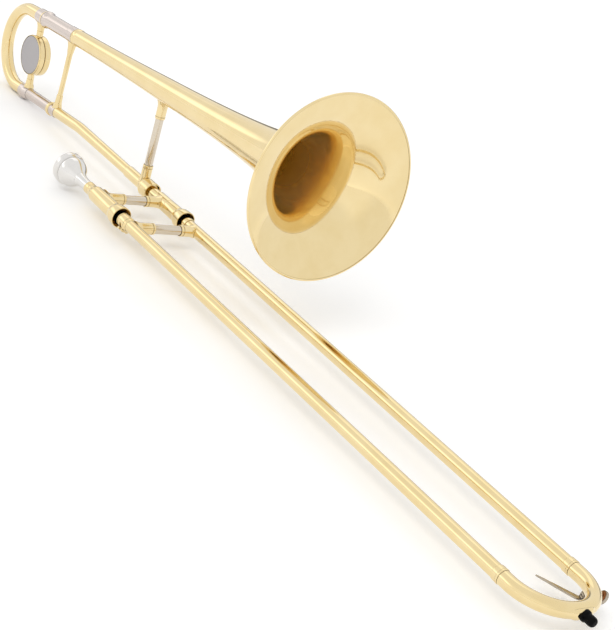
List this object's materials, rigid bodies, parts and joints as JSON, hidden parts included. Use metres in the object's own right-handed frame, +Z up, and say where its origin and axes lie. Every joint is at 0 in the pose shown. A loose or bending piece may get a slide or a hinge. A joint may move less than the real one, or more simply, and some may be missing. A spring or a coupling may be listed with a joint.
{
  "type": "tenor trombone",
  "caption": "Slide trombone with a bell and tuning slide over a long hand slide, a balance weight, a water key, a slide lock and a mouthpiece.",
  "frame": {"origin": "under the middle of the instrument's box, on the surface it lies on", "axes": "+X along the slide tubes towards the bow; +Z up, from the slide towards the bell; the mouthpiece side is towards -Y"},
  "size_m": [1.1938, 0.1934, 0.2593],
  "materials": {
    "lacquered_brass": "clear-lacquered, polished",
    "nickel_silver": "polished nickel silver, plain metal",
    "silver_plate": "polished silver plate",
    "spring_steel": "drawn wire",
    "cork": "natural cork",
    "black_rubber": "matte black"
  },
  "bodies": {
    "inner_slide": {"mouthpiece_receiver": "lacquered_brass", "receiver_sheath": "lacquered_brass", "leadpipe": "lacquered_brass", "cork_barrel_upper": "lacquered_brass", "cork_barrel_lower": "lacquered_brass", "lower_sheath": "lacquered_brass", "slide_tenon": "lacquered_brass", "inner_brace_socket_upper": "lacquered_brass", "inner_brace_tube": "nickel_silver", "inner_brace_socket_lower": "lacquered_brass", "inner_slide_tube_upper": "nickel_silver", "inner_slide_tube_lower": "nickel_silver", "barrel_cork_upper": "cork", "barrel_cork_lower": "cork"},
    "mouthpiece": {"mouthpiece": "silver_plate"},
    "outer_slide": {"outer_slide_tube_upper": "lacquered_brass", "outer_slide_tube_lower": "lacquered_brass", "tube_sleeve_upper": "lacquered_brass", "tube_sleeve_lower": "lacquered_brass", "outer_brace_tube": "nickel_silver", "outer_brace_socket_upper": "lacquered_brass", "outer_brace_socket_lower": "lacquered_brass", "bow_ferrule_upper": "lacquered_brass", "bow_ferrule_lower": "lacquered_brass", "slide_bow": "lacquered_brass", "bow_guard_plate": "lacquered_brass", "bumper": "black_rubber", "water_key_nipple": "nickel_silver", "water_key_saddle": "nickel_silver", "water_key_pin": "nickel_silver", "water_key_spring": "spring_steel"},
    "water_key": {"water_key_lever": "nickel_silver", "water_key_cork": "cork"},
    "slide_lock": {"slide_lock_ring": "lacquered_brass"},
    "bell_section": {"neckpipe": "lacquered_brass", "slide_receiver": "lacquered_brass", "front_brace_socket_lower": "lacquered_brass", "front_brace_tube": "nickel_silver", "front_brace_socket_upper": "lacquered_brass", "bell": "lacquered_brass", "bell_rim_wire": "spring_steel", "bell_tail_ferrule": "lacquered_brass", "outer_leg_upper": "nickel_silver", "leg_step_ferrule": "nickel_silver", "outer_leg_lower": "nickel_silver", "neck_ferrule": "nickel_silver", "neck_ferrule_bead": "lacquered_brass", "rear_brace": "lacquered_brass"},
    "lock_nut": {"lock_nut": "lacquered_brass"},
    "tuning_slide": {"tuning_crook": "lacquered_brass", "crook_ferrule_upper": "nickel_silver", "crook_ferrule_lower": "nickel_silver", "leg_ring_upper": "lacquered_brass", "inner_leg_upper": "nickel_silver", "inner_leg_lower": "nickel_silver", "weight_post_upper": "lacquered_brass", "weight_post_lower": "lacquered_brass", "counterweight_left": "lacquered_brass", "counterweight_right": "lacquered_brass", "counterweight_disc": "nickel_silver"}
  },
  "joints": [
    {"name": "hand_slide", "type": "slide", "parent": "inner_slide", "child": "outer_slide", "axis": [1, 0, 0], "range_m": [0, 0.6]},
    {"name": "bell_swivel", "type": "hinge", "parent": "inner_slide", "child": "bell_section", "pos_m": [-0.21199, 0.00534, 0.02271], "axis": [1, 0, 0], "range_deg": [-180, 35]},
    {"name": "lock_nut_turn", "type": "hinge", "parent": "bell_section", "child": "lock_nut", "pos_m": [-0.19399, 0.00534, 0.02271], "axis": [1, 0, 0], "range_deg": [0, 540]},
    {"name": "tuning_slide_pull", "type": "slide", "parent": "bell_section", "child": "tuning_slide", "axis": [-0.9961, 0.0033, -0.0878], "range_m": [0, 0.04]},
    {"name": "mouthpiece_pull", "type": "slide", "parent": "inner_slide", "child": "mouthpiece", "axis": [-1, 0, 0], "range_m": [0, 0.03]},
    {"name": "slide_lock_turn", "type": "hinge", "parent": "outer_slide", "child": "slide_lock", "pos_m": [-0.10199, -0.07666, 0.02271], "axis": [1, 0, 0], "range_deg": [0, 40]},
    {"name": "water_key_press", "type": "hinge", "parent": "outer_slide", "child": "water_key", "pos_m": [0.55621, -0.00275, 0.01201], "axis": [-0.866, 0.5, 0], "range_deg": [0, 18], "stiffness_Nm_per_rad": 0.1, "springref_deg": -14.32, "deforming": ["water_key_spring"]}
  ]
}
